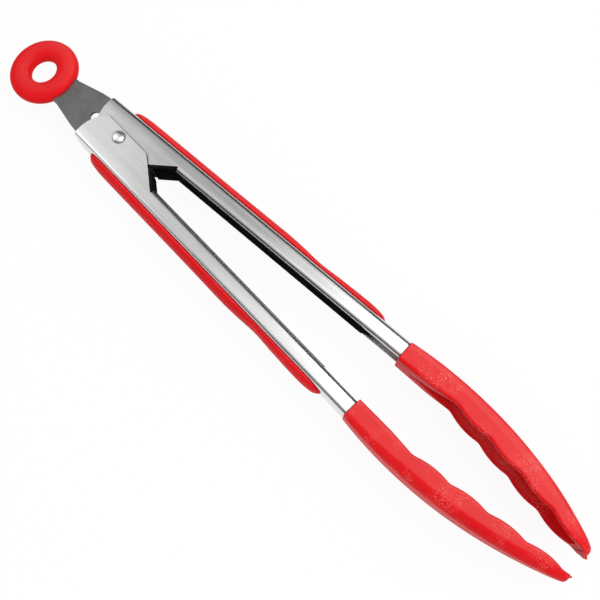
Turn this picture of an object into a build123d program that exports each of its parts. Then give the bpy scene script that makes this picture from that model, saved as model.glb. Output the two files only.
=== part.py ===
from build123d import *
import os
from math import cos, pi, radians, sin, sqrt

# Spring loaded locking tongs. All sizes are in millimetres and degrees.
# Arm frame: the origin is on the pivot axis, +X runs along the arm to its tip,
# +Y points out through the arm's back, and Z runs along the pivot axis.

# --- arm: a pressed steel channel, open towards the other arm
sheet = 0.8               # steel thickness
arm_width = 15.2          # outside width across the two cheeks
back_height = 12.1        # pivot axis to the outer face of the back
edge_height = 4.75        # pivot axis to the channel's open edge
bend_radius = 1.8         # outside radius of the back's two bends
lip_radius = 1.6          # outside radius of the edge that is turned in
lip_flat = 0.5            # flat of the turned edge beyond its bend
tail_length = 13.8        # pivot axis to the end of the back
tail_bulge = 2.0          # how far the cheek's round end stands out of its chord
cheek_tail = 10.2         # pivot axis to the cheek's far corner
cheek_reach = 3.4         # how far a cheek passes beyond the pivot axis
notch_start = 13.1        # where the slanted notch leaves the cheek
notch_end = 26.3          # where the notch meets the channel's edge
cheek_gap = 0.1           # play between cheeks that lie on each other
rest_angle = 2.8          # half angle between the arms when locked

# --- rivet, spacer sleeve and spring
rivet_radius = 1.5
rivet_play = 0.05         # radial play of the cheeks on the rivet
rivet_head_radius = 2.7
rivet_head_height = 1.1
head_play = 0.05          # play under each rivet head
sleeve_wall = 0.5
sleeve_fit = 0.03         # radial play of the sleeve on the rivet
sleeve_play = 0.05        # play at each end of the sleeve
wire = 1.2                # spring wire diameter
coil_clearance = 0.75     # sleeve to the inside of the coil
coil_turns = 4            # full turns, besides the part turn between the legs
coil_gap = 0.15           # space between neighbouring turns
coil_level = -3.6         # centre of the lowest wire
leg_angle = 24.0          # each leg to the long axis
leg_length = 19.0

# --- lock tab: a plate on the sleeve that narrows and is cranked down to the ring
tab_sheet = 1.2
tab_play = 0.6            # plate to the cheek that it lies under
slot_play = 0.1           # each side of the sleeve in the slot
slot_outer = 14.5         # pivot axis to the centre of the slot's outer end
slot_inner = 1.3          # pivot axis to the centre of the slot's inner end
nose_wall = 1.2           # plate left beyond the slot's inner end
lock_play = 0.71          # plate to the back's inner face at the tail
bend_place = 16.0         # pivot axis to the bend line, where the plate starts to narrow
tab_bend = 8.9
shoulder_place = 20.0     # pivot axis to the corner where it narrows faster
shoulder_half = 9.4
neck_place = 32.4         # pivot axis to the narrow end of the plate
neck_half = 6.7
nose_round = 5.0
eye_centre = 47.95        # pivot axis to the eye's centre, along the axis
eye_outer = 12.3
eye_inner = 8.3

# --- hanging ring, moulded over the eye
ring_hole = 5.65
ring_outer = 14.9
ring_thick = 6.0
ring_round = 2.2
mould_gap = 0.04          # between a moulded piece and the steel inside it

# --- head: silicone moulded over the arm's scalloped steel end
head_start = 143.1
head_skin = 1.0           # silicone on each side of the steel
back_skin = 0.4           # silicone over the steel's back where the head starts
skin_taper = 12.0         # length over which the skin on the back grows to head_skin
collar_edge = 3.5         # pivot axis to the collar's inner face
collar_end = 160.0        # where the collar's inner face turns down to the rim
collar_round = 2.6
crest_place = 161.0       # where the back stands out furthest
back_bow = 190.0          # radius of the head's back at its crest
widest_place = 206.0
widest_half = 13.75
head_end = 243.6          # end of the round tip's outline
tip_cut = 241.6           # blunt end face
tip_power = 2.6           # how square the tip's outline is
tip_steel = 1.6           # end face to the steel inside
side_round = 3.4          # outside radius of the steel's side bends in the head
side_blend = 40.0         # length over which the channel's bends grow to side_round
mouth_start = 149.0       # where the bowl opens in the collar's inner face
mouth_full = 172.0        # where the bowl reaches its full width
bowl_round = 1.6          # bowl corner radius beyond the steel's
notch_first = 171.4       # first and last notch of the scalloped rim
notch_first_height = 4.3
notch_last = 237.0
notch_last_height = -6.2
notch_bow = 0.6           # rise of the notch line in its middle
scallops = 4
scallop_height = 1.1
scallop_round = 3.0
rim_cover = 1.2           # silicone beyond the steel's rim
lip_length = 1.4          # thin lip that runs out at the tip
lip_height = -7.9
lip_thick = 0.9
section_count = 13        # sections of each loft along the head

# --- liner in the channel and soft grip on the back
liner_start = 18.8
liner_end = 127.0
liner_bevel = 2.2
liner_lean = 4.6          # how far the start face leans back from the notch
liner_proud = 0.4         # liner beyond the channel's edge
notch_proud = 1.2         # liner beyond the cheeks' notch
liner_play = 0.1
liner_wall = 1.6
stud_places = (33.0, 73.0, 113.0)
stud_radius = 2.0
stud_play = 0.1
stud_depth = 1.6          # stud inside the grip
grip_start = -5.2
grip_end = 130.5
grip_inset = 1.2          # cheek face to the side of the grip
grip_height = 3.2         # thickness along the middle
grip_edge = 0.4           # thickness at the sides, as a part of that
grip_brow = 3.35          # thickness before the dip
grip_brow_place = 78.0
grip_waist = 2.3          # thickness at the dip before the end swell
grip_waist_place = 96.0
grip_swell = 3.0
grip_swell_place = 117.0
grip_round = 0.5
grip_trim = 0.02          # extra half width of the sections, cut off by the outline
seat_gap = 0.03           # between grip or liner and the steel under it

# --- derived
arm_shift = (sheet + cheek_gap) / 2
cheek_outside = arm_width / 2 + arm_shift
cheek_inside = arm_width / 2 - arm_shift - sheet
back_inside = back_height - sheet
grip_half = arm_width / 2 - grip_inset
sleeve_radius = rivet_radius + sleeve_fit + sleeve_wall
tab_level = cheek_inside - tab_play - tab_sheet / 2
crest_height = (back_height + back_skin
                + (crest_place - head_start) ** 2 / (2 * back_bow))
far = 400.0               # beyond the whole tongs, for cutting tools
blunt = 0.4               # least corner radius of a lofted section


def slab(outline, half_width):
    """A side outline, thickened to both sides of the arm's middle plane."""
    return extrude(make_face(outline), amount=half_width, both=True)


def ease(t):
    """Smooth step from 0 to 1."""
    t = min(max(t, 0.0), 1.0)
    return t * t * (3 - 2 * t)


# ---------------------------------------------------------------- arm channel

def channel_section(grow):
    """U section across the arm, in (Y, Z), with its material grown by grow each way."""
    half = arm_width / 2 + grow
    height = back_height + grow
    depth = cheek_reach + 1
    outer = Pos((height - depth) / 2, 0) * Rectangle(height + depth, 2 * half)
    outer = fillet(outer.vertices().group_by(Axis.X)[-1], bend_radius + grow)
    thick = sheet + 2 * grow
    inner = Pos((height - thick - depth) / 2 - 1, 0)
    inner = inner * Rectangle(height - thick + depth + 2, 2 * (half - thick))
    inner = fillet(inner.vertices().group_by(Axis.X)[-1], bend_radius - sheet - grow)
    return outer - inner


def cheek_outline():
    """Side outline of the channel as far as the head, from its round tail end."""
    corner = (-cheek_tail, -cheek_reach)
    back_end = (-tail_length, back_height)
    chord = Vector(*back_end) - Vector(*corner)
    middle = Vector(*corner) + chord / 2 + Vector(-chord.Y, chord.X).normalized() * tail_bulge
    edge = edge_height + lip_radius
    tail = ThreePointArc(corner, (middle.X, middle.Y), back_end)
    rest = Polyline(back_end, (head_start, back_height), (head_start, edge), (notch_end, edge),
                    (notch_start, -cheek_reach), corner)
    face = make_face([tail, rest])
    rounds = {corner: 1.4, (notch_start, -cheek_reach): 3.0, (notch_end, edge): 1.2}
    for place, radius in rounds.items():
        vertex = face.vertices().sort_by_distance(Vector(*place))[0]
        face = fillet(vertex, radius)
    return face


def turned_edge(grow, start, end):
    """The two cheeks' inner edges, turned in as stiffening lips."""
    half = arm_width / 2
    bend = edge_height + lip_radius
    centre = half - lip_radius
    ring = Circle(lip_radius + grow) - Circle(lip_radius - sheet - grow)
    quarter = Pos(bend, centre) * (ring & Pos(-lip_radius, lip_radius)
                                   * Rectangle(2 * lip_radius, 2 * lip_radius))
    flat = Pos(edge_height + sheet / 2, centre - lip_flat / 2)
    flat = flat * Rectangle(sheet + 2 * grow, lip_flat + 2 * grow)
    section = quarter + flat
    section = section + mirror(section, Plane.XZ)
    lips = extrude(Plane.YZ * section, amount=end - start)
    return Pos(start, 0, 0) * lips


def channel():
    """The channel from the tail to the start of the head, with its holes."""
    start = -tail_length - 5
    body = Pos(start, 0, 0) * extrude(Plane.YZ * channel_section(0), amount=head_start - start)
    body = body & extrude(cheek_outline(), amount=arm_width, both=True)
    body = body + turned_edge(0, notch_end + 0.5, head_start)
    body = body - Cylinder(rivet_radius + rivet_play, 2 * arm_width)
    for place in stud_places:
        hole = Cylinder(stud_radius + stud_play, 2 * sheet + 2, rotation=(90, 0, 0))
        body = body - Pos(place, back_height, 0) * hole
    return body


# ------------------------------------------------- head, over the steel's end

def outline_half(x):
    """Half width of the silicone head in plan."""
    collar_half = arm_width / 2 + head_skin
    if x <= widest_place:
        t = (x - head_start) / (widest_place - head_start)
        return collar_half + (widest_half - collar_half) * sin(pi * t / 2) ** 1.15
    t = (x - widest_place) / (head_end - widest_place)
    return widest_half * sqrt(1 - t ** tip_power)


def back_line(x):
    """Height of the silicone head's back."""
    return crest_height - (x - crest_place) ** 2 / (2 * back_bow)


def steel_back(x):
    """Height of the steel's back inside the head."""
    taper = ease((x - head_start) / skin_taper)
    return back_line(x) - back_skin - (head_skin - back_skin) * taper


def notch_line(x):
    """Height of the line through the rim's notches."""
    t = (x - notch_first) / (notch_last - notch_first)
    straight = notch_first_height + t * (notch_last_height - notch_first_height)
    return straight + 4 * notch_bow * t * (1 - t)


def base_line(x):
    """Bottom of the lofted blank: the collar's face, then clear below the rim."""
    low = notch_line(max(x, notch_first)) - scallop_height - 3
    turn = ease((x - collar_end) / (notch_first - collar_end))
    return collar_edge + (low - collar_edge) * turn


def bend_at(x):
    """Outside bend radius of the steel, growing from the channel to the head."""
    return bend_radius + (side_round - bend_radius) * ease((x - head_start) / side_blend)


def rounded_section(x, half, top, bottom, top_round, bottom_round):
    """Closed section across the arm at x, wider than tall or not, with round corners."""
    top_round = min(top_round, 0.9 * half)
    bottom_round = min(bottom_round, 0.9 * half)
    shape = Pos((top + bottom) / 2, 0) * Rectangle(top - bottom, 2 * half)
    shape = fillet(shape.vertices().group_by(Axis.X)[-1], top_round)
    shape = fillet(shape.vertices().group_by(Axis.X)[0], bottom_round)
    return Pos(x, 0, 0) * (Plane.YZ * shape)


def stations(start, end):
    """Places of a loft's sections, closer together towards the tip."""
    steps = [i / section_count for i in range(section_count + 1)]
    return [start + (end - start) * (1 - (1 - t) ** 1.5) for t in steps]


def head_loft(grow, end, drop, bottom_round):
    """The steel's outer form grown by grow, but not beyond the silicone's back."""
    sections = []
    for x in stations(head_start, end):
        half = outline_half(x) - head_skin + grow
        top = min(steel_back(x) + grow, back_line(x))
        top_round = max(bend_at(x) + grow, blunt)
        sections.append(rounded_section(x, half, top, base_line(x) - drop, top_round, bottom_round))
    return loft(sections)


def rim_cutter(raise_by):
    """Everything on the inner side of the scalloped rim, with the rim raised by raise_by."""
    start = (head_start - 2, collar_edge - 0.4)
    before = (collar_end, collar_edge - 0.3)
    pitch = (notch_last - notch_first) / scallops
    notches = [(notch_first + i * pitch, notch_line(notch_first + i * pitch))
               for i in range(scallops + 1)]
    edges = [Polyline(start, before, notches[0])]
    for first, last in zip(notches, notches[1:]):
        middle = ((first[0] + last[0]) / 2, (first[1] + last[1]) / 2 - scallop_height)
        edges.append(ThreePointArc(first, middle, last))
    tip = (tip_cut + lip_length, lip_height)
    edges.append(Polyline(notches[-1], tip, (head_end + 5, lip_height), (head_end + 5, -60),
                          (start[0], -60), start))
    face = make_face(edges)
    for notch in notches:
        vertex = face.vertices().sort_by_distance(Vector(*notch))[0]
        face = fillet(vertex, scallop_round)
    return Pos(0, raise_by, 0) * extrude(face, amount=3 * widest_half, both=True)


def tip_cutter():
    """What is cut away beyond the blunt end face, above the thin lip."""
    lip_edge = lip_height + 0.2
    top = crest_height + 5
    outline = Polyline((tip_cut - 0.6, top), (tip_cut, lip_height + lip_thick + 0.3),
                       (tip_cut + lip_length, lip_edge), (head_end + 5, lip_edge),
                       (head_end + 5, top), (tip_cut - 0.6, top))
    return slab(outline, 3 * widest_half)


def steel_end(grow):
    """Scalloped end of the pressing, inside the head; grow widens it to its cavity."""
    end = tip_cut - tip_steel
    outside = head_loft(grow, end + grow, 4, blunt) - rim_cutter(rim_cover - grow)
    return outside - head_loft(-sheet - grow, end - sheet - grow, 4, blunt)


def arm():
    """One arm pressing, centred across its own channel."""
    return channel() + steel_end(0)


def bowl():
    """The hollow of the head, open towards the other head."""
    wall = 2 * head_skin + sheet
    end = tip_cut - tip_steel - sheet - head_skin
    quarter = (mouth_full - mouth_start) / 4
    sections = []
    for x in [mouth_start + i * quarter for i in range(4)] + stations(mouth_full, end):
        t = ease((x - mouth_start) / (mouth_full - mouth_start))
        half = (outline_half(x) - wall) * (0.14 + 0.86 * t)
        low_top = collar_edge + head_skin
        top = low_top + (back_line(x) - wall - low_top) * t
        corner = max((bend_at(x) + bowl_round) * t, blunt)
        sections.append(rounded_section(x, half, top, base_line(x) - 6, corner, blunt))
    return loft(sections)


def head():
    """One silicone head, with the cavity that its steel end fills."""
    body = head_loft(head_skin, head_end - 0.35, 0, collar_round)
    body = body - rim_cutter(0) - tip_cutter()
    body = body - bowl()
    body = body - steel_end(mould_gap)
    lips = turned_edge(mould_gap, head_start - 1, head_start + mould_gap)
    return body - lips


# ------------------------------------------------------------ liner and grip

def notch_face(x):
    """Height at x of the liner's slanted face, just below the cheeks' notch."""
    rise = edge_height + lip_radius + cheek_reach
    notch = -cheek_reach + rise * (x - notch_start) / (notch_end - notch_start)
    return notch - notch_proud


def liner():
    """Black insert: fills the channel, faces the notch and carries the grip's studs."""
    half = arm_width / 2 - sheet - liner_play
    top = back_inside - seat_gap
    shelf = edge_height + sheet + liner_play
    face = edge_height - liner_proud
    toe = notch_end - 0.4
    outline = Polyline((liner_start, notch_face(liner_start)), (toe, notch_face(toe)), (toe, shelf),
                       (liner_end, shelf), (liner_end + liner_bevel, top),
                       (liner_start + liner_lean, top), (liner_start, notch_face(liner_start)))
    body = slab(outline, half)
    body = fillet(body.edges().filter_by(Axis.X).group_by(Axis.Y)[-1], bend_radius - sheet)
    body = fillet(body.edges().filter_by(Axis.X).group_by(Axis.Y)[0],
                  lip_radius - sheet - liner_play)
    rib_start = toe - 1
    root = shelf + 1
    rib = Polyline((rib_start, root), (rib_start, face), (liner_end - liner_bevel, face),
                   (liner_end, root), (rib_start, root))
    rib_half = arm_width / 2 - lip_radius - lip_flat - liner_play
    body = body + slab(rib, rib_half)
    for first, last in zip(stud_places, stud_places[1:]):
        length = last - first - 2 * (stud_radius + liner_wall)
        pocket = Box(length, 2 * (top - shelf - liner_wall), 2 * (half - liner_wall))
        body = body - Pos((first + last) / 2, top, 0) * pocket
    stud_top = back_height + stud_depth
    for place in stud_places:
        stud = Cylinder(stud_radius, stud_top - top + 0.5, rotation=(90, 0, 0))
        body = body + Pos(place, (stud_top + top - 0.5) / 2, 0) * stud
    return body


def grip_section(x, height):
    """Domed section of the grip at x."""
    foot = back_height + seat_gap
    edge = foot + grip_edge * height
    half = grip_half + grip_trim
    sides = Polyline((edge, half), (foot, half), (foot, -half), (edge, -half))
    dome = ThreePointArc((edge, -half), (foot + height, 0), (edge, half))
    face = make_face([sides, dome])
    face = fillet(face.vertices().group_by(Axis.X)[-1], grip_round)
    return Pos(x, 0, 0) * (Plane.YZ * face)


def grip():
    """Soft domed strip on the arm's back, with a swell near its end."""
    heights = [(grip_start, 0.4 * grip_height), (grip_start + 3, 0.78 * grip_height),
               (grip_start + 10, grip_height), (50, grip_height), (grip_brow_place, grip_brow),
               (grip_waist_place, grip_waist), (grip_swell_place, grip_swell),
               (grip_end - 4, 0.78 * grip_swell), (grip_end, 0.4 * grip_swell)]
    body = loft([grip_section(x, height) for x, height in heights])
    plan = SlotOverall(grip_end - grip_start, 2 * grip_half)
    plan = Pos((grip_start + grip_end) / 2, 0) * plan
    body = body & extrude(Plane.XZ * plan, amount=-far)
    for place in stud_places:
        depth = stud_depth + seat_gap
        socket = Cylinder(stud_radius + stud_play / 2, 2 * depth, rotation=(90, 0, 0))
        body = body - Pos(place, back_height, 0) * socket
    return body


# ------------------------------------------------------- rivet, sleeve, spring

def rivet():
    """Rivet with a dome at each end."""
    seat = cheek_outside + head_play
    top = seat + rivet_head_height
    rim = seat + 0.3 * rivet_head_height
    brow = (0.62 * rivet_head_radius, seat + 0.82 * rivet_head_height)
    outline = [Line((0, 0), (0, top)),
               ThreePointArc((0, top), brow, (rivet_head_radius, rim)),
               Polyline((rivet_head_radius, rim), (rivet_head_radius, seat), (rivet_radius, seat),
                        (rivet_radius, 0), (0, 0))]
    half = revolve(Plane.XZ * make_face(outline), Axis.Z)
    return half + mirror(half, Plane.XY)


def sleeve():
    """Tube between the inner cheeks."""
    length = 2 * (cheek_inside - sleeve_play)
    return Cylinder(sleeve_radius, length) - Cylinder(rivet_radius + sleeve_fit, length + 1)


def spring():
    """Torsion spring: a coil round the sleeve and two legs along the arms."""
    radius = sleeve_radius + coil_clearance + wire / 2
    pitch = wire + coil_gap
    first = 90 + leg_angle
    part_turn = 360 - 2 * first
    height = pitch * (coil_turns + part_turn / 360)
    path = Pos(0, 0, coil_level) * Rot(0, 0, first) * Helix(pitch, height, radius)
    coil = sweep(Plane(path @ 0, z_dir=path % 0) * Circle(wire / 2), path=path, is_frenet=True)
    ends = [(path @ 0, path % 0 * -1), (path @ 1, path % 1)]
    for place, direction in ends:
        leg = extrude(Plane(place, z_dir=direction) * Circle(wire / 2), amount=leg_length)
        coil = coil + leg
    return coil


# ------------------------------------------------------------- tab and ring

def lock_half():
    """Half width of the plate where it keeps the tails apart."""
    angle = radians(rest_angle)
    wall = back_inside * cos(angle) - tail_length * sin(angle)
    return wall - lock_play


def bent_plane():
    """Plane of the cranked end, its origin on the bend line and X towards the pivot."""
    angle = radians(tab_bend)
    return Plane((-bend_place, 0, tab_level), x_dir=(cos(angle), 0, sin(angle)),
                 z_dir=(-sin(angle), 0, cos(angle)))


def tab_outline():
    """Outline of the flat plate, from its nose to beyond its narrow end."""
    nose = slot_inner + sleeve_radius + slot_play + nose_wall
    half = lock_half()
    upper = [(nose, 0), (nose, half), (-bend_place, half), (-shoulder_place, shoulder_half),
             (-neck_place, neck_half), (-neck_place - 8, neck_half)]
    lower = [(x, -y) for x, y in reversed(upper)]
    face = make_face(Polyline(*upper, *lower[:-1], close=True))
    for side in (half, -half):
        vertex = face.vertices().sort_by_distance(Vector(nose, side))[0]
        face = fillet(vertex, nose_round)
    return face


def eye_place():
    """Eye centre in the cranked plane, from the bend line."""
    return -(eye_centre - bend_place) / cos(radians(tab_bend))


def tab_eye(grow):
    """Flat eye in the cranked plane, grown by grow each way."""
    return Pos(eye_place(), 0) * (Circle(eye_outer + grow) - Circle(eye_inner - grow))


def tab():
    """Lock tab: slotted plate, bend and eye."""
    outline = tab_outline()
    flat_side = Pos(-bend_place + far / 2, 0) * Rectangle(far, far)
    flat = outline & flat_side
    slot_half = sleeve_radius + slot_play
    slot_middle = (slot_inner - slot_outer) / 2
    slot = Pos(slot_middle, 0) * SlotCenterToCenter(slot_inner + slot_outer, 2 * slot_half)
    flat = Pos(0, 0, tab_level) * extrude(flat, amount=tab_sheet / 2, both=True)
    tail = Pos(bend_place, 0) * outline & Pos(-far / 2, 0) * Rectangle(far, far)
    end = tail - Pos(eye_place(), 0) * Circle(eye_inner) + tab_eye(0)
    end = bent_plane() * extrude(end, amount=tab_sheet / 2, both=True)
    bend = Cylinder(tab_sheet / 2, 2 * lock_half(), rotation=(90, 0, 0))
    bend = Pos(-bend_place, 0, tab_level) * bend
    body = flat + end + bend
    return body - Pos(0, 0, tab_level) * extrude(slot, amount=tab_sheet, both=True)


def ring():
    """Soft ring round the eye."""
    middle = (ring_outer + ring_hole) / 2
    section = Pos(middle, 0) * RectangleRounded(ring_outer - ring_hole, ring_thick, ring_round)
    body = revolve(Plane.XZ * section, Axis.Z)
    body = bent_plane() * Pos(eye_place(), 0, 0) * body
    thick = tab_sheet / 2 + mould_gap
    cavity = bent_plane() * extrude(tab_eye(mould_gap), amount=thick, both=True)
    neck_length = neck_place + 8 - bend_place
    neck = Pos(-neck_length / 2, 0) * Rectangle(neck_length, 2 * (neck_half + mould_gap))
    root = neck - Pos(eye_place(), 0) * Circle(eye_inner - mould_gap)
    root = bent_plane() * extrude(root, amount=thick, both=True)
    return body - cavity - root


# ------------------------------------------------------------------ assembly

def upper(piece):
    """Put an arm piece on the upper (+Y) arm."""
    return Rot(0, 0, rest_angle) * Pos(0, 0, -arm_shift) * piece


def lower(piece):
    """The same piece turned over, on the lower (-Y) arm."""
    return Rot(180, 0, 0) * upper(piece)


def tongs():
    """Every piece by name, with the pivot axis at the origin."""
    pieces = {"pivot_rivet": rivet(), "spacer_sleeve": sleeve(), "torsion_spring": spring(),
              "lock_tab": tab(), "hanging_ring": ring()}
    for name, piece in {"arm": arm(), "head": head(), "liner": liner(), "grip": grip()}.items():
        pieces["upper_" + name] = upper(piece)
        pieces["lower_" + name] = lower(piece)
    return pieces


def main():
    os.makedirs("parts", exist_ok=True)
    pieces = tongs()
    boxes = [piece.bounding_box() for piece in pieces.values()]
    low = [min(getattr(box.min, side) for box in boxes) for side in "XYZ"]
    high = [max(getattr(box.max, side) for box in boxes) for side in "XYZ"]
    to_origin = Pos(-(low[0] + high[0]) / 2, -(low[1] + high[1]) / 2, -low[2])
    for name, piece in pieces.items():
        export_step(to_origin * piece, "parts/" + name + ".step")


main()
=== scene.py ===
from math import cos, pi, radians, sin, sqrt

import bmesh
import bpy
from mathutils import Matrix, Vector


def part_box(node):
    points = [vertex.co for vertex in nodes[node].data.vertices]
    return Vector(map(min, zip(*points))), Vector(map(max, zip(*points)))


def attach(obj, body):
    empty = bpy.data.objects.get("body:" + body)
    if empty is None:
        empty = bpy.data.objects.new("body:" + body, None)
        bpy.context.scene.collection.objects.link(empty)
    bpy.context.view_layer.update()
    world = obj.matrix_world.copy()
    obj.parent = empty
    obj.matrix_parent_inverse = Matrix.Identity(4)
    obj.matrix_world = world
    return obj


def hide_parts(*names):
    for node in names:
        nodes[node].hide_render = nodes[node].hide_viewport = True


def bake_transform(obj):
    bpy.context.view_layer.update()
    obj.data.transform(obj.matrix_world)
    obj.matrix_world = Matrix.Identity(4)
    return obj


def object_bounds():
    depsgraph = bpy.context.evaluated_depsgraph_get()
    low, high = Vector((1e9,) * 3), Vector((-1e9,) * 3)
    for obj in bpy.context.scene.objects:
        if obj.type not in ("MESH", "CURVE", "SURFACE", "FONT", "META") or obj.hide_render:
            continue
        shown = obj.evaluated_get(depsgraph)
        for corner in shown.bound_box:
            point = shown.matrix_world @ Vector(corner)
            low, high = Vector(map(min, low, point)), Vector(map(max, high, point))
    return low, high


# Locking kitchen tongs. Arm frame, in millimetres: the origin is on the pivot axis,
# +X runs to the tip, +Y out through the arm's back, +Z along the pivot axis.

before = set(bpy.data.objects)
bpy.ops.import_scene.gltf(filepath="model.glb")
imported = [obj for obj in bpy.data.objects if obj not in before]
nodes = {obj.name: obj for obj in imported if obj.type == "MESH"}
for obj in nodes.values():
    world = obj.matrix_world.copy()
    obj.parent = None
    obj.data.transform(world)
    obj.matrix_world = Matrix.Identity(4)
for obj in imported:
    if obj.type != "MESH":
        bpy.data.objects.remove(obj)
cad_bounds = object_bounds()

MM = 0.001
REST = 2.8            # half angle between the arms, degrees
SHIFT = 0.45          # each arm's middle plane to the pivot's middle
WIDTH = 15.2          # arm, across its cheeks
BACK = 12.1           # pivot axis to the arm's back

sleeve_low, sleeve_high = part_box("spacer_sleeve")
PIVOT = (sleeve_low + sleeve_high) / 2
PLACE = {
    "upper": (Matrix.Translation(PIVOT) @ Matrix.Rotation(radians(REST), 4, "Z")
              @ Matrix.Translation((0, 0, -SHIFT * MM))),
    "lower": (Matrix.Translation(PIVOT) @ Matrix.Rotation(pi, 4, "X")
              @ Matrix.Rotation(radians(REST), 4, "Z") @ Matrix.Translation((0, 0, -SHIFT * MM))),
}


# ---------------------------------------------------------------- node helpers

CORNER_SHADE_SAMPLES = 8
WHITE = (1, 1, 1, 1)


def grey(level):
    """An opaque grey, for a colour socket."""
    return (level, level, level, 1)


class Nodes:
    """The node tree of a material or world, with short calls for the nodes used here."""

    def __init__(self, owner, output="ShaderNodeOutputMaterial", coords="Object"):
        self.owner = owner
        owner.use_nodes = True
        self.tree = owner.node_tree
        self.tree.nodes.clear()
        self.output = self.add(output)
        self.coords = self.add("ShaderNodeTexCoord").outputs[coords]

    def add(self, kind, **settings):
        node = self.tree.nodes.new(kind)
        for key, value in settings.items():
            setattr(node, key, value)
        return node

    def link(self, source, target):
        self.tree.links.new(source, target)

    def feed(self, socket, value):
        """Link a socket to another one, or give it a plain value."""
        if isinstance(value, bpy.types.NodeSocket):
            self.link(value, socket)
        else:
            socket.default_value = value

    def mapping(self, scale=(1, 1, 1), rotation=(0, 0, 0), source=None):
        node = self.add("ShaderNodeMapping")
        self.link(source or self.coords, node.inputs["Vector"])
        node.inputs["Scale"].default_value = scale
        node.inputs["Rotation"].default_value = rotation
        return node.outputs["Vector"]

    def noise(self, vector, scale, detail, roughness):
        node = self.add("ShaderNodeTexNoise")
        self.link(vector, node.inputs["Vector"])
        node.inputs["Scale"].default_value = scale
        node.inputs["Detail"].default_value = detail
        node.inputs["Roughness"].default_value = roughness
        return node.outputs["Fac"]

    def cells(self, vector, scale):
        node = self.add("ShaderNodeTexVoronoi")
        self.link(vector, node.inputs["Vector"])
        node.inputs["Scale"].default_value = scale
        return node.outputs["Distance"]

    def span(self, value, low, high, out_low=0.0, out_high=1.0):
        """Value from low to high, carried smoothly to out_low to out_high."""
        node = self.add("ShaderNodeMapRange")
        node.interpolation_type = "SMOOTHSTEP"
        self.link(value, node.inputs["Value"])
        node.inputs["From Min"].default_value = low
        node.inputs["From Max"].default_value = high
        node.inputs["To Min"].default_value = out_low
        node.inputs["To Max"].default_value = out_high
        return node.outputs["Result"]

    def math(self, operation, a, b):
        node = self.add("ShaderNodeMath", operation=operation)
        self.feed(node.inputs[0], a)
        self.feed(node.inputs[1], b)
        return node.outputs[0]

    def blend(self, a, b, share):
        """The weighted mean of two values, share of it from a."""
        return self.math("ADD", self.math("MULTIPLY", a, share), self.math("MULTIPLY", b, 1 - share))

    def mix(self, factor, a, b):
        """One of two colours, or a colour between them."""
        node = self.add("ShaderNodeMix", data_type="RGBA")
        self.feed(node.inputs[0], factor)
        self.feed(node.inputs[6], a)
        self.feed(node.inputs[7], b)
        return node.outputs[2]

    def bump(self, height, strength, distance, normal=None):
        node = self.add("ShaderNodeBump")
        self.link(height, node.inputs["Height"])
        node.inputs["Strength"].default_value = strength
        node.inputs["Distance"].default_value = distance
        if normal is not None:
            self.link(normal, node.inputs["Normal"])
        return node.outputs["Normal"]

    def shader(self, color, roughness, normal=None, **values):
        """The surface's Principled shader; values are named as its sockets, _ for a space."""
        node = self.add("ShaderNodeBsdfPrincipled")
        self.feed(node.inputs["Base Color"], color)
        self.feed(node.inputs["Roughness"], roughness)
        if normal is not None:
            self.link(normal, node.inputs["Normal"])
        for key, value in values.items():
            node.inputs[key.replace("_", " ")].default_value = value
        self.link(node.outputs[0], self.output.inputs["Surface"])
        return self.owner

    def facing(self, direction):
        """How far the surface faces along a direction, from -1 to 1."""
        dot = self.add("ShaderNodeVectorMath", operation="DOT_PRODUCT")
        self.link(self.add("ShaderNodeNewGeometry").outputs["Normal"], dot.inputs[0])
        dot.inputs[1].default_value = direction
        return dot.outputs["Value"]

    def corner_shade(self, reach):
        """Ambient occlusion, 1 on open surface and less in corners within reach; it paints shade into
        corners.
        """
        node = self.add("ShaderNodeAmbientOcclusion", samples=CORNER_SHADE_SAMPLES)
        node.inputs["Distance"].default_value = reach
        return node.outputs["AO"]


CROWN_FROM = 6.5      # the arm's Y where a cheek starts to fall away, mm
CROWN_FALL = 9.0      # metres of fall for the square of the distance beyond, in metres
STEEL_FINE = (45, 3600, 3600)       # about as many brush marks for each metre, along and across
STEEL_BROAD = (14, 700, 700)
STEEL_CLOUD = (38, 70, 70)


def brushed_steel(name, angle, light, dark, rough):
    """Steel brushed along X, turned by angle about Z, with painted shade darkening its corners and
    seams.
    The pressed cheeks fall away softly towards the back's bend."""
    n = Nodes(bpy.data.materials.new(name))
    turned = n.mapping(rotation=(0, 0, -angle))
    split = n.add("ShaderNodeSeparateXYZ")
    n.link(turned, split.inputs[0])
    across = n.math("MULTIPLY", split.outputs["Y"], 1.0 if angle > 0 else -1.0)
    crown_start = -PIVOT.x * sin(abs(angle)) + CROWN_FROM * MM
    beyond = n.math("MAXIMUM", n.math("SUBTRACT", across, crown_start), 0.0)
    crown = n.math("MULTIPLY", n.math("MULTIPLY", beyond, beyond), -CROWN_FALL)
    fine = n.noise(n.mapping(scale=STEEL_FINE, source=turned), scale=1.0, detail=2.0, roughness=0.6)
    broad = n.noise(n.mapping(scale=STEEL_BROAD, source=turned), scale=1.0, detail=2.0, roughness=0.5)
    cloud = n.noise(n.mapping(scale=STEEL_CLOUD, source=turned), scale=1.0, detail=3.0, roughness=0.55)
    grain = n.blend(fine, broad, 0.55)
    tone = n.blend(grain, cloud, 0.45)
    bare = n.mix(n.span(tone, 0.38, 0.62), dark, light)
    # Painted shade: the colour falls to near black in corners and along seams, by ambient occlusion.
    color = n.mix(n.span(n.corner_shade(0.9 * MM), 0.5, 0.99), grey(0.05), bare)
    roughness = n.span(grain, 0.3, 0.7, rough - 0.04, rough + 0.06)
    bent = n.bump(crown, strength=1.0, distance=1.0)
    normal = n.bump(grain, strength=0.06, distance=0.03 * MM, normal=bent)
    return n.shader(color, roughness, normal, Metallic=1.0, Anisotropic=0.3)


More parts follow.
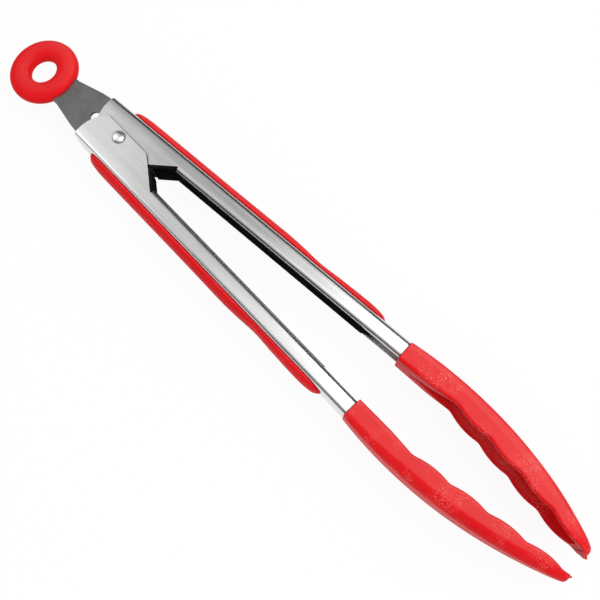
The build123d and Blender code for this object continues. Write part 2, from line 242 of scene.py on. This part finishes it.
# Painted sheen on silicone: paler colour where the surface faces up, standing in for reflected
# overhead light; the last value is its strength.
SHEEN_SIDE = (0, 0.35, 0.94)      # the painted sheen, a pale highlight, lies on what faces this way, upwards and a little to +Y
SHEEN_FROM = 0.84      # how squarely a surface has to face it before any painted sheen lies there
PAINTED_SHEEN = 0.22


def silicone(name, base, pale, deep, glint_strength, rough=0.42):
    """Moulded silicone with a thin pale painted sheen on what faces up, and painted glints as fine
    pale specks in soft patches.
    pale is the colour of the painted sheen and glints; the argument after deep says how strong the
    glints are."""
    n = Nodes(bpy.data.materials.new(name))
    patch = n.noise(n.coords, scale=95.0, detail=3.0, roughness=0.55)
    speck = n.noise(n.coords, scale=1900.0, detail=2.0, roughness=0.65)
    # Painted glints: pale specks in soft noise patches, standing in for light reflected off the
    # silicone.
    glint_specks = n.math("MULTIPLY", n.span(patch, 0.42, 0.66), n.span(speck, 0.50, 0.72))
    # Painted sheen: paler where the surface faces up and a little to +Y.
    sheen = n.span(n.facing(SHEEN_SIDE), SHEEN_FROM, 1.0, 0.0, PAINTED_SHEEN)
    glint_and_sheen = n.math("ADD", n.math("MULTIPLY", glint_specks, glint_strength), sheen)
    cloud = n.noise(n.coords, scale=32.0, detail=2.0, roughness=0.5)
    tint = n.mix(n.span(cloud, 0.35, 0.65), deep, base)
    color = n.mix(glint_and_sheen, tint, pale)
    roughness = n.span(glint_and_sheen, 0.0, 0.5, rough, rough + 0.14)
    pores = n.noise(n.coords, scale=2400.0, detail=3.0, roughness=0.6)
    waves = n.noise(n.coords, scale=420.0, detail=2.0, roughness=0.5)
    rough_skin = n.bump(pores, strength=0.3, distance=0.07 * MM)
    normal = n.bump(waves, strength=0.16, distance=0.12 * MM, normal=rough_skin)
    return n.shader(color, roughness, normal, Specular_IOR_Level=0.04,
                    Subsurface_Weight=0.25, Subsurface_Scale=1.5 * MM)


def moulded_plastic(name, base, worn):
    """Black moulded plastic, matt, with a fine even grain."""
    n = Nodes(bpy.data.materials.new(name))
    grain = n.cells(n.coords, scale=2600.0)
    cloud = n.noise(n.coords, scale=160.0, detail=3.0, roughness=0.5)
    color = n.mix(n.span(cloud, 0.35, 0.7), base, worn)
    roughness = n.span(cloud, 0.3, 0.7, 0.5, 0.64)
    normal = n.bump(grain, strength=0.2, distance=0.05 * MM)
    return n.shader(color, roughness, normal, Specular_IOR_Level=0.0)


def dull_steel(name, base, pale, rough):
    """Unpolished sheet: a fine grain drawn out along it, under a faint cloud, with painted shade
    darkening its corners.
    """
    n = Nodes(bpy.data.materials.new(name))
    grain = n.noise(n.mapping(scale=(900, 2600, 2600)), scale=1.0, detail=3.0, roughness=0.6)
    cloud = n.noise(n.coords, scale=140.0, detail=3.0, roughness=0.55)
    tone = n.blend(grain, cloud, 0.45)
    color = n.mix(n.span(tone, 0.38, 0.64), base, pale)
    # Painted shade: the colour falls to near black in corners, by ambient occlusion.
    color = n.mix(n.span(n.corner_shade(0.8 * MM), 0.35, 0.95), grey(0.04), color)
    roughness = n.span(grain, 0.3, 0.7, rough - 0.04, rough + 0.06)
    normal = n.bump(grain, strength=0.2, distance=0.05 * MM)
    return n.shader(color, roughness, normal, Metallic=1.0)


def polished_steel(name, light, dark, rough):
    """Turned or drawn steel with a soft shine, and painted shade darkening it where it meets another
    piece.
    """
    n = Nodes(bpy.data.materials.new(name))
    fine = n.noise(n.coords, scale=1500.0, detail=3.0, roughness=0.6)
    color = n.mix(n.span(fine, 0.3, 0.7), dark, light)
    # Painted shade: the colour falls to near black where the piece meets another, by ambient
    # occlusion.
    color = n.mix(n.span(n.corner_shade(0.5 * MM), 0.3, 0.9), grey(0.05), color)
    roughness = n.span(fine, 0.3, 0.7, rough, rough + 0.06)
    normal = n.bump(fine, strength=0.1, distance=0.03 * MM)
    return n.shader(color, roughness, normal, Metallic=1.0)


# ---------------------------------------------------------------- mesh helpers

def mesh_object(name, vertices, faces, matrix, merge=0.0):
    """A smooth-shaded object from points in millimetres; merge joins points closer than that."""
    mesh = bpy.data.meshes.new(name)
    mesh.from_pydata([matrix @ (Vector(v) * MM) for v in vertices], [], faces)
    b = bmesh.new()
    b.from_mesh(mesh)
    if merge:
        bmesh.ops.remove_doubles(b, verts=b.verts, dist=merge * MM)
    bmesh.ops.recalc_face_normals(b, faces=b.faces)
    b.to_mesh(mesh)
    b.free()
    mesh.shade_smooth()
    thing = bpy.data.objects.new(name, mesh)
    bpy.context.scene.collection.objects.link(thing)
    return thing


def skin(rings, closed=True, caps=True):
    """Vertices and quads that join rings of equal length; flat caps close the ends."""
    count = len(rings[0])
    vertices = [p for ring in rings for p in ring]
    faces = []
    last = count if closed else count - 1
    for i in range(len(rings) - 1):
        this, after = i * count, (i + 1) * count
        for j in range(last):
            k = (j + 1) % count
            faces.append((this + j, this + k, after + k, after + j))
    if caps:
        faces.append(tuple(range(count)))
        faces.append(tuple((len(rings) - 1) * count + j for j in range(count)))
    return vertices, faces


def revolve(section, steps, closed=True):
    """Vertices and quads of a section in (radius, Z), turned once about Z."""
    rings = []
    for i in range(steps):
        a = 2 * pi * i / steps
        rings.append([(r * cos(a), r * sin(a), z) for r, z in section])
    rings.append(rings[0])
    return skin(rings, closed, caps=False)


def arc(cx, cy, rx, ry, start, end, steps):
    """Points of an elliptical arc, both ends included, angles in degrees."""
    points = []
    for i in range(steps + 1):
        t = radians(start + (end - start) * i / steps)
        points.append((cx + rx * cos(t), cy + ry * sin(t)))
    return points


def ease(t):
    """0 up to t = 0, 1 from t = 1, and a smooth rise between them."""
    t = min(max(t, 0.0), 1.0)
    return t * t * (3 - 2 * t)


def mirrored(points):
    """A half outline in Z >= 0 from the middle to the middle, closed by its mirror."""
    return points + [(x, y, -z) for x, y, z in reversed(points[1:-1])]


def power(value, exponent):
    """A power that keeps the sign, for outlines squarer or fuller than an ellipse."""
    return abs(value) ** exponent * (1 if value >= 0 else -1)


def finish_piece(piece, body, slot, material, *replaced):
    """Give a piece its material and the body it rides on; the slot argument is not used."""
    piece.data.materials.append(material)
    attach(piece, body)
    if replaced:
        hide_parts(*replaced)
    return piece


# ---------------------------------------------------------------------- heads

HEAD = 143.1                # where the head starts
SKIN = 1.0                  # silicone on the cheeks
BACK_SKIN = 0.4             # silicone on the back, where the head starts
COLLAR_EDGE = 3.5           # the rim's height along the collar
COLLAR_END = 160.0
WIDEST = (206.0, 13.75)     # place and half width
FLARE = 1.15                # exponents of the plan's flare and of its nose
NOSE = 2.6
HEAD_END = 243.6            # where the plan's nose would close
TIP = 241.6
CREST_AT = 161.0            # the highest place of the back
CREST_SPREAD = 380          # twice the radius of the back's arch
CREST = (CREST_AT, BACK + BACK_SKIN + (CREST_AT - HEAD) ** 2 / CREST_SPREAD)
WALL = 2.8
MOUTH = (148.6, 172.0)      # the bowl opens from here to here
BOWL_END = 238.2
BOWL_CLOSE = 9              # length over which the bowl's end rounds off
NOTCHES = (171.4, 4.3, 237.0, -6.2)     # first and last cusp of the rim, X and Y
NOTCH_BOW = 2.4             # four times the bow of the line through the cusps
SCALLOPS = 4
SCALLOP_DEPTH = 1.15
LIP = -7.9                  # height of the rim at the nib's end
NIB = 1.4                   # how far the nib stands out beyond the tip
RIM_STEP = 0.24             # spacing of the samples that round the cusps
RIM_REACH = 8               # samples to each side
SHOULDER = (2.8, 1.7)       # radius between back and side at the collar, and what it grows by
SHOULDER_BLEND = 40         # length over which it grows
DOME = 0.35                 # how far the back falls from its middle to its sides
DOME_BLEND = 30             # length over which the fall grows
DOME_FULL = 8               # half width from which the fall is full
BOWL_ROUND = 3.0            # radius inside the open bowl
BOWL_RISE = 1.25            # how much sooner the bowl grows deep than wide
RIM_ROUND = (2.3, 1.15)     # outer radius of the rim, and what the open bowl takes off it
RIM_INNER = 0.8             # inner radius of the rim, as a share of half its wall
RIM_OUTER = 1.15            # most of the outer radius, as a share of the same
FULLEST = 0.9               # most that a round takes of its wall
LEAST_ROUND = 0.2
TINY = 1e-3                 # keeps rounds in the closed bowl from vanishing
END_ROUND = 0.35            # radius at the head's start
TIP_ROUND = 1.0
HEAD_STEPS = 190
NIB_ROOT = 5.5              # how far inside the tip the nib starts
NIB_THICK = 0.9
NIB_CLOSE = 0.86            # share of the nib's length where its end starts to round
NIB_INSET = (0.6, 0.7)      # nib inside the head's outline at its root, and what is added on the way
NIB_SQUARE = 0.35           # exponent that squares its section


def half_width(x):
    """Half width of the head, seen from its back."""
    collar = WIDTH / 2 + SKIN
    if x <= WIDEST[0]:
        t = (x - HEAD) / (WIDEST[0] - HEAD)
        return collar + (WIDEST[1] - collar) * sin(pi * t / 2) ** FLARE
    t = (x - WIDEST[0]) / (HEAD_END - WIDEST[0])
    return WIDEST[1] * sqrt(1 - min(t, 1) ** NOSE)


def back_height(x):
    """Height of the head's back, a shallow arch."""
    return CREST[1] - (x - CREST[0]) ** 2 / CREST_SPREAD


def notch_line(x):
    """Height of the line through the rim's cusps."""
    t = (x - NOTCHES[0]) / (NOTCHES[2] - NOTCHES[0])
    return NOTCHES[1] + t * (NOTCHES[3] - NOTCHES[1]) + NOTCH_BOW * t * (1 - t)


def rim_raw(x):
    """Height of the rim with sharp cusps between its scallops."""
    first, last = NOTCHES[0], NOTCHES[2]
    if x < COLLAR_END:
        return COLLAR_EDGE
    if x < first:
        t = (x - COLLAR_END) / (first - COLLAR_END)
        return COLLAR_EDGE + (notch_line(first) - COLLAR_EDGE) * t
    if x > last:
        t = (x - last) / (TIP + NIB - last)
        return NOTCHES[3] + (LIP - NOTCHES[3]) * t
    pitch = (last - first) / SCALLOPS
    t = ((x - first) / pitch) % 1.0
    start = x - t * pitch
    chord = notch_line(start) + t * (notch_line(start + pitch) - notch_line(start))
    return chord - SCALLOP_DEPTH * 4 * t * (1 - t)


def rim(x):
    """Height of the rim with rounded cusps, as a weighted mean of the sharp line."""
    total = weight = 0.0
    for i in range(-RIM_REACH, RIM_REACH + 1):
        share = 1 - abs(i) / (RIM_REACH + 1)
        total += share * rim_raw(x + RIM_STEP * i)
        weight += share
    return total / weight


def straight(start, end, steps):
    """The points between two ends, without the ends."""
    shares = [i / steps for i in range(1, steps)]
    return [(start[0] * (1 - t) + end[0] * t, start[1] * (1 - t) + end[1] * t) for t in shares]


def head_ring(x, shrink=0.0):
    """Closed ring of points across the head at x, shrunk evenly by shrink: the bowl's ceiling
    and inner wall, the rim, the outer wall and the back."""
    wide = half_width(x) - shrink
    top = back_height(x) - shrink
    foot = rim(x) + shrink
    opened = ease((x - MOUTH[0]) / (MOUTH[1] - MOUTH[0]))
    closing = max((x - (BOWL_END - BOWL_CLOSE)) / BOWL_CLOSE, 0)
    shut = sqrt(max(1 - closing ** 2, 0)) if x < BOWL_END else 0.0
    inner = max((wide - WALL) * opened * shut, 0.0)
    ceiling = foot + max((top - WALL - foot) * ease(opened * BOWL_RISE) * shut, 0.0)
    room = FULLEST * (ceiling - foot) + TINY
    half_lip = 0.5 * min(wide - inner, WALL)
    shoulder = SHOULDER[0] + SHOULDER[1] * ease((x - HEAD) / SHOULDER_BLEND)
    round_out = min(shoulder, FULLEST * wide, 0.62 * (top - foot))
    round_in = min(max(BOWL_ROUND * opened, LEAST_ROUND), FULLEST * inner + TINY, room)
    outer_foot = min(RIM_ROUND[0] - RIM_ROUND[1] * opened, 0.45 * (top - foot),
                     max(half_lip * RIM_OUTER, LEAST_ROUND))
    inner_foot = min(half_lip * RIM_INNER, room)

    low_in = foot + inner_foot
    low_out = foot + outer_foot
    line = [(0, ceiling)] + straight((0, ceiling), (inner - round_in, ceiling), 6)
    line += arc(inner - round_in, ceiling - round_in, round_in, round_in, 90, 0, 8)
    line += straight((inner, ceiling - round_in), (inner, low_in), 5)
    line += arc(inner + inner_foot, low_in, inner_foot, inner_foot, 180, 270, 6)
    line += arc(wide - outer_foot, low_out, outer_foot, outer_foot, 270, 360, 8)
    line += straight((wide, low_out), (wide, top - round_out), 9)
    line += arc(wide - round_out, top - round_out, round_out, round_out, 0, 90, 12)
    line += straight((wide - round_out, top), (0, top), 7) + [(0, top)]

    crown = DOME * ease((x - HEAD) / DOME_BLEND) * min(1.0, wide / DOME_FULL)
    points = []
    for z, y in line:
        dome = crown * (z / wide) ** 2 if y >= top - 1e-6 else 0.0
        points.append((x, y - dome, z))
    return mirrored(points)


def nib_ring(t):
    """Ring of points across the nib, the thin lip at the tip; t runs from its root to its end."""
    x = TIP - NIB_ROOT + (NIB_ROOT + NIB) * t
    edge = sqrt(max(1 - max((t - NIB_CLOSE) / (1 - NIB_CLOSE), 0) ** 2, 0.0))
    inset = NIB_INSET[0] + NIB_INSET[1] * t
    wide = max(half_width(min(x, HEAD_END - 0.7)) - inset, 0.5) * (0.82 + 0.18 * edge)
    thick = NIB_THICK * max(edge, 0.12)
    middle = rim_raw(x) + 0.02 + NIB_THICK / 2
    turns = [2 * pi * i / 24 for i in range(24)]
    return [(x, middle + thick / 2 * sin(a), wide * power(cos(a), NIB_SQUARE)) for a in turns]


def head_mesh(name, matrix):
    """The head with both its ends rounded over, and its nib."""
    places = []
    for i in range(6):
        t = radians(90 * i / 6)
        places.append((HEAD + END_ROUND * (1 - cos(t)), END_ROUND * (1 - sin(t))))
    first, last = HEAD + END_ROUND, TIP - TIP_ROUND
    places += [(first + (last - first) * i / HEAD_STEPS, 0.0) for i in range(HEAD_STEPS + 1)]
    for i in range(1, 9):
        t = radians(90 * i / 8)
        places.append((last + TIP_ROUND * sin(t), TIP_ROUND * (1 - cos(t))))
    vertices, faces = skin([head_ring(x, shrink) for x, shrink in places])
    nib_vertices, nib_faces = skin([nib_ring(i / 14) for i in range(15)])
    offset = len(vertices)
    faces += [tuple(v + offset for v in face) for face in nib_faces]
    return mesh_object(name, vertices + nib_vertices, faces, matrix, merge=0.03)


# ---------------------------------------------------------------------- grips

GRIP = (-5.2, 130.5)        # where it starts and ends
GRIP_HALF = 6.4             # half width, and the radius of its ends seen from the back
GRIP_GAP = 0.03             # grip to the arm's back
GRIP_EDGE = 0.4             # height of its side, as a share of its thickness
GRIP_HEEL = 0.3             # radius at its foot
GRIP_CORNER = 0.6           # radius where its side meets its top
GRIP_END = (0.35, 2.2)      # share of the thickness at the very end, and length of the rise
GRIP_MARGIN = 0.06          # ends to the first and the last ring
# place and thickness of the grip's middle
GRIP_THICKNESS = [(-5.2, 1.3), (-4.6, 1.8), (-3.1, 2.35), (-0.5, 2.85), (4.8, 3.2), (50, 3.2),
                  (66, 3.28), (78, 3.35), (86, 3.0), (96, 2.3), (105, 2.7), (117, 3.0),
                  (123, 2.9), (127.2, 2.35), (129.6, 1.6), (130.5, 1.2)]


def grip_thickness(x):
    """Thickness of the grip's middle at x, by smooth interpolation."""
    points = GRIP_THICKNESS
    for i, ((x0, y0), (x1, y1)) in enumerate(zip(points, points[1:])):
        if x <= x1:
            before = points[max(i - 1, 0)]
            after = points[min(i + 2, len(points) - 1)]
            length = x1 - x0
            slope_0 = (y1 - before[1]) / (x1 - before[0])
            slope_1 = (after[1] - y0) / (after[0] - x0)
            t = (x - x0) / length
            return ((2 * t ** 3 - 3 * t ** 2 + 1) * y0 + (t ** 3 - 2 * t ** 2 + t) * length * slope_0
                    + (3 * t ** 2 - 2 * t ** 3) * y1 + (t ** 3 - t ** 2) * length * slope_1)
    return 0.0


def grip_ring(x):
    """Ring of points across the grip at x: flat foot, soft heel, low side and domed top."""
    start, end = GRIP
    foot = BACK + GRIP_GAP
    to_end = min(x - start, end - x)
    inset = GRIP_HALF - min(to_end, GRIP_HALF)
    wide = sqrt(GRIP_HALF ** 2 - inset ** 2)
    least, rise = GRIP_END
    height = grip_thickness(x) * (least + (1 - least) * sqrt(min(to_end / rise, 1.0)))
    side = GRIP_EDGE * height
    heel = min(GRIP_HEEL, 0.3 * side, 0.3 * wide)
    corner = min(GRIP_CORNER, 0.65 * side, 0.4 * wide)
    line = [(0, foot), (0.5 * wide, foot)]
    line += arc(wide - heel, foot + heel, heel, heel, 270, 360, 3)
    for i in range(23):
        z = wide * cos(radians(90 * i / 22))
        over = max((z - wide + corner) / corner, 0.0)
        dome = side + (height - side) * (1 - (z / wide) ** 2)
        line.append((z, foot + dome - corner * (1 - sqrt(1 - min(over, 1.0) ** 2))))
    return mirrored([(x, y, z) for z, y in line])


def grip_mesh(name, matrix):
    """The grip, with closer rings in its round ends."""
    start, end = GRIP[0] + GRIP_MARGIN, GRIP[1] - GRIP_MARGIN
    middle = end - start - 2 * GRIP_HALF
    places = [start + GRIP_HALF * (1 - cos(radians(90 * i / 20))) for i in range(20)]
    places += [start + GRIP_HALF + middle * i / 120 for i in range(121)]
    places += [end - GRIP_HALF * (1 - sin(radians(90 * i / 20))) for i in range(1, 21)]
    vertices, faces = skin([grip_ring(x) for x in places])
    return mesh_object(name, vertices, faces, matrix, merge=0.02)


# ----------------------------------------------------------------------- ring

BEND = 16.0                 # pivot to the tab's crank
TAB_LEVEL = 5.15            # middle of the tab's plate above the pivot's middle
TAB_BEND = 8.9              # angle of the crank, degrees
EYE = 47.95                 # pivot to the middle of the eye
RING_HOLE = 5.65            # radii and thickness of the ring
RING_OUTER = 14.9
RING_THICK = 6.0
RING_FULL = (0.8, 0.82)     # exponents that make its section fuller than an ellipse


def ring_mesh(name):
    """Soft ring, flatter than a torus, in the plane of the tab's cranked end."""
    middle, reach = (RING_OUTER + RING_HOLE) / 2, (RING_OUTER - RING_HOLE) / 2
    along = (EYE - BEND) / cos(radians(TAB_BEND))
    matrix = (Matrix.Translation(PIVOT + Vector((-BEND, 0, TAB_LEVEL)) * MM)
              @ Matrix.Rotation(radians(-TAB_BEND), 4, "Y")
              @ Matrix.Translation((-along * MM, 0, 0)))
    section = []
    for i in range(48):
        a = 2 * pi * i / 48
        section.append((middle + reach * power(cos(a), RING_FULL[0]),
                        RING_THICK / 2 * power(sin(a), RING_FULL[1])))
    vertices, faces = revolve(section, 128)
    return mesh_object(name, vertices, faces, matrix, merge=0.001)


# ------------------------------------------------------------ rivet and spring

RIVET_GAP = 0.05            # rivet head to the cheek
# half of the rivet's section: radius, and height above its seat
RIVET_HEAD = [(0.0, 1.1), (0.5, 1.09), (1.0, 1.04), (1.5, 0.94), (1.9, 0.8), (2.25, 0.6),
              (2.5, 0.4), (2.64, 0.22), (2.7, 0.08), (2.68, 0.0), (1.5, 0.0)]
COIL_RADIUS = 3.38
COIL_PITCH = 1.35
COIL_LEVEL = -3.6           # the coil's start, below the pivot's middle
LEG_ANGLE = 24.0            # legs to the tongs' axis
LEG = 19.0
LEG_STEPS = 24
WIRE = 0.6                  # radius
COIL_TURNS = 4 + (360 - 2 * (90 + LEG_ANGLE)) / 360
COIL_STEPS = 260


def rivet_mesh(name):
    """Rivet with a low dome on each end, flat underneath, turned about Z."""
    seat = WIDTH / 2 + SHIFT + RIVET_GAP
    section = [(r, seat + height) for r, height in RIVET_HEAD]
    section += [(r, -z) for r, z in reversed(section)]
    vertices, faces = revolve(section, 64, closed=False)
    return mesh_object(name, vertices, faces, Matrix.Translation(PIVOT), merge=0.002)


def wire(name, path, matrix, sides=20):
    """The spring's round wire along a path of points."""
    rings = []
    normal = None
    for i, point in enumerate(path):
        before = Vector(path[max(i - 1, 0)])
        after = Vector(path[min(i + 1, len(path) - 1)])
        tangent = (after - before).normalized()
        if normal is None:
            normal = tangent.orthogonal().normalized()
        normal = (normal - tangent * normal.dot(tangent)).normalized()
        side = tangent.cross(normal)
        ring = []
        for j in range(sides):
            a = 2 * pi * j / sides
            ring.append(tuple(Vector(point) + WIRE * (cos(a) * normal + sin(a) * side)))
        rings.append(ring)
    vertices, faces = skin(rings)
    return mesh_object(name, vertices, faces, matrix)


def coil_point(turns):
    """The wire's middle after so many turns from the coil's start."""
    a = radians(90 + LEG_ANGLE) + 2 * pi * turns
    return (COIL_RADIUS * cos(a), COIL_RADIUS * sin(a), COIL_LEVEL + COIL_PITCH * turns)


def leg_path(turns, sign):
    """Points of one leg, from the coil's end outwards."""
    start = Vector(coil_point(turns))
    a = radians(LEG_ANGLE) * sign
    direction = Vector((cos(a), sin(a), 0))
    return [tuple(start + direction * LEG * i / LEG_STEPS) for i in range(LEG_STEPS + 1)]


# ------------------------------------------------------------------ materials

arm_angles = {"upper": radians(REST), "lower": radians(-REST)}
steel = {side: brushed_steel("arm_steel_" + side, angle, (0.80, 0.80, 0.795, 1), grey(0.73), 0.28)
         for side, angle in arm_angles.items()}
# The pale colour of each silicone is its painted sheen and glints.
head_red = silicone("head_silicone", (0.775, 0.014, 0.018, 1), (0.93, 0.27, 0.26, 1),
                    (0.72, 0.010, 0.014, 1), glint_strength=0.8)
grip_red = silicone("grip_silicone", (0.78, 0.009, 0.013, 1), (0.88, 0.14, 0.14, 1),
                    (0.72, 0.007, 0.011, 1), glint_strength=0.25)
ring_red = silicone("ring_silicone", (0.80, 0.012, 0.016, 1), (0.88, 0.13, 0.13, 1),
                    (0.75, 0.009, 0.013, 1), glint_strength=0.2, rough=0.4)
liner_black = moulded_plastic("liner_plastic", (0.007, 0.007, 0.008, 1), (0.014, 0.013, 0.014, 1))
tab_grey = dull_steel("tab_steel", (0.155, 0.155, 0.153, 1), (0.205, 0.205, 0.2, 1), 0.45)
rivet_steel = polished_steel("rivet_steel", grey(0.9), grey(0.8), 0.34)
sleeve_steel = polished_steel("sleeve_steel", grey(0.5), grey(0.4), 0.25)
spring_steel = polished_steel("spring_steel", grey(0.42), grey(0.34), 0.22)


def dress(node, material):
    """Put a material on a CAD node's slots."""
    mesh = nodes[node].data
    if not mesh.materials:
        mesh.materials.append(material)
    for i in range(len(mesh.materials)):
        mesh.materials[i] = material


for side, matrix in PLACE.items():
    dress(side + "_arm", steel[side])
    dress(side + "_liner", liner_black)
    body = side + "_arm"
    head = head_mesh(side + "_head_skin", matrix)
    finish_piece(head, body, "head_silicone", head_red, side + "_head")
    grip = grip_mesh(side + "_grip_skin", matrix)
    finish_piece(grip, body, "grip_silicone", grip_red, side + "_grip")

dress("lock_tab", tab_grey)
dress("spacer_sleeve", sleeve_steel)

ring = ring_mesh("ring_skin")
finish_piece(ring, "tab", "ring_silicone", ring_red, "hanging_ring")
rivet = rivet_mesh("rivet_turned")
finish_piece(rivet, "pivot", "rivet_steel", rivet_steel, "pivot_rivet")

pivot_place = Matrix.Translation(PIVOT)
coil_path = [coil_point(COIL_TURNS * i / COIL_STEPS) for i in range(COIL_STEPS + 1)]
coil = wire("spring_coil", coil_path, pivot_place)
finish_piece(coil, "pivot", "spring_steel", spring_steel, "torsion_spring")
for side, turns, sign in (("upper", 0.0, 1), ("lower", COIL_TURNS, -1)):
    path = leg_path(turns, sign)
    leg = wire("spring_leg_" + side, path, pivot_place)
    leg.data.materials.append(spring_steel)
    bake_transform(leg)


# ------------------------------------------------------------ stage and lights

FLOOR_SIZE = 6
FLOOR_DROP = 0.0002         # below the lowest point of the tongs, m
FLOOR_GREY = 0.93
FLOOR_SHARE = 0.93          # of even white in what the camera or a reflection sees
LEVEL = 0.62                # of the world's light on matt surfaces
LEVEL_BELOW = 0.7           # share of it that comes from below
STUDIO = 0.05               # brightness of the studio in reflections
# The tent and the panel, by the reflection's direction: from, to, and the brightness at both,
# which is 0 and 1 where none is given.
TENT_UP = (0.35, 0.75)
TENT_ALONG = (-0.32, -0.08, 0.38, 1.35)
TENT_LOWER = (-0.5, -0.1, 0.25, 0.98)
TENT_UPPER = (0.05, 0.46, 1.0, 0.02)
PANEL_UP = (0.15, 0.35)
PANEL_ALONG = (-0.46, -0.36, 1.1, 0.0)
PANEL_ACROSS = (0.12, 0.26, 1.0, 0.0)


def stage_material(name, tone, share):
    """Pale matt surface, mostly even white where the camera or a reflection looks."""
    n = Nodes(bpy.data.materials.new(name))
    path = n.add("ShaderNodeLightPath")
    seen = n.math("MAXIMUM", path.outputs["Is Camera Ray"], path.outputs["Is Glossy Ray"])
    seen = n.math("MAXIMUM", seen, path.outputs["Is Transmission Ray"])
    diffuse = n.add("ShaderNodeBsdfDiffuse")
    diffuse.inputs["Color"].default_value = tone
    glow = n.add("ShaderNodeEmission")
    glow.inputs["Color"].default_value = WHITE
    glow.inputs["Strength"].default_value = 1.0
    mixer = n.add("ShaderNodeMixShader")
    n.link(n.math("MULTIPLY", seen, share), mixer.inputs[0])
    n.link(diffuse.outputs[0], mixer.inputs[1])
    n.link(glow.outputs[0], mixer.inputs[2])
    n.link(mixer.outputs[0], n.output.inputs["Surface"])
    return n.owner


def studio_world(level):
    """White to the camera, even to matt surfaces; in reflections a bright tent overhead
    and a soft panel beyond the ring, with a dim studio behind them."""
    world = bpy.data.worlds.new("studio")
    n = Nodes(world, "ShaderNodeOutputWorld", "Generated")
    split = n.add("ShaderNodeSeparateXYZ")
    n.link(n.coords, split.inputs[0])
    x, y, z = split.outputs
    sides = n.math("MULTIPLY", n.span(y, *TENT_LOWER), n.span(y, *TENT_UPPER))
    tent = n.math("MULTIPLY", n.span(z, *TENT_UP), sides)
    tent = n.math("MULTIPLY", tent, n.span(x, *TENT_ALONG))
    panel = n.math("MULTIPLY", n.span(x, *PANEL_ALONG), n.span(z, *PANEL_UP))
    panel = n.math("MULTIPLY", panel, n.span(y, *PANEL_ACROSS))
    shiny = n.math("ADD", n.math("ADD", tent, panel), STUDIO)
    path = n.add("ShaderNodeLightPath")
    glossy = path.outputs["Is Glossy Ray"]
    matt = n.span(z, -0.5, 1.0, LEVEL_BELOW * level, level)
    even = n.math("MULTIPLY", n.math("SUBTRACT", 1.0, glossy), matt)
    strength = n.math("ADD", n.math("MULTIPLY", shiny, glossy), even)
    strength = n.math("MAXIMUM", strength, path.outputs["Is Camera Ray"])
    background = n.add("ShaderNodeBackground")
    background.inputs["Color"].default_value = WHITE
    n.link(strength, background.inputs["Strength"])
    n.link(background.outputs[0], n.output.inputs["Surface"])
    world.cycles.sampling_method = "NONE"
    return world


lowest = cad_bounds[0][2]
bpy.ops.mesh.primitive_plane_add(size=FLOOR_SIZE, location=(0, 0, lowest - FLOOR_DROP))
floor = bpy.context.object
floor.name = "floor"
floor.data.materials.append(stage_material("floor_white", grey(FLOOR_GREY), FLOOR_SHARE))
bpy.context.scene.world = studio_world(LEVEL)


def area_light(name, place, target, size, watts):
    """A soft rectangular lamp that looks at a target."""
    light = bpy.data.lights.new(name, "AREA")
    light.shape = "RECTANGLE"
    light.size, light.size_y = size
    light.energy = watts
    lamp = bpy.data.objects.new(name, light)
    bpy.context.scene.collection.objects.link(lamp)
    lamp.location = place
    direction = Vector(target) - Vector(place)
    lamp.rotation_euler = direction.to_track_quat("-Z", "Y").to_euler()


area_light("key", place=(0.35, 0.25, 0.9), target=(0.02, 0, 0.014), size=(0.7, 0.5), watts=5.0)
area_light("fill", place=(-0.58, -0.3, 0.62), target=(-0.05, 0, 0.014), size=(0.2, 0.2), watts=0.6)

CAMERA_PLACE = (157.0, -50.51, 342.99)      # from the pivot, mm
CAMERA_TURN = (12.953, 0.910, 43.677)       # degrees
CAMERA_LENS = 53.4

camera_data = bpy.data.cameras.new("camera")
camera = bpy.data.objects.new("camera", camera_data)
bpy.context.scene.collection.objects.link(camera)
camera_data.sensor_width = 36.0
camera_data.lens = CAMERA_LENS
camera_data.clip_start = 0.01
camera_data.clip_end = 20
camera.location = PIVOT + Vector(CAMERA_PLACE) * MM
camera.rotation_euler = tuple(radians(angle) for angle in CAMERA_TURN)
bpy.context.scene.camera = camera

bpy.context.scene.view_settings.view_transform = "Standard"

bpy.context.view_layer.update()
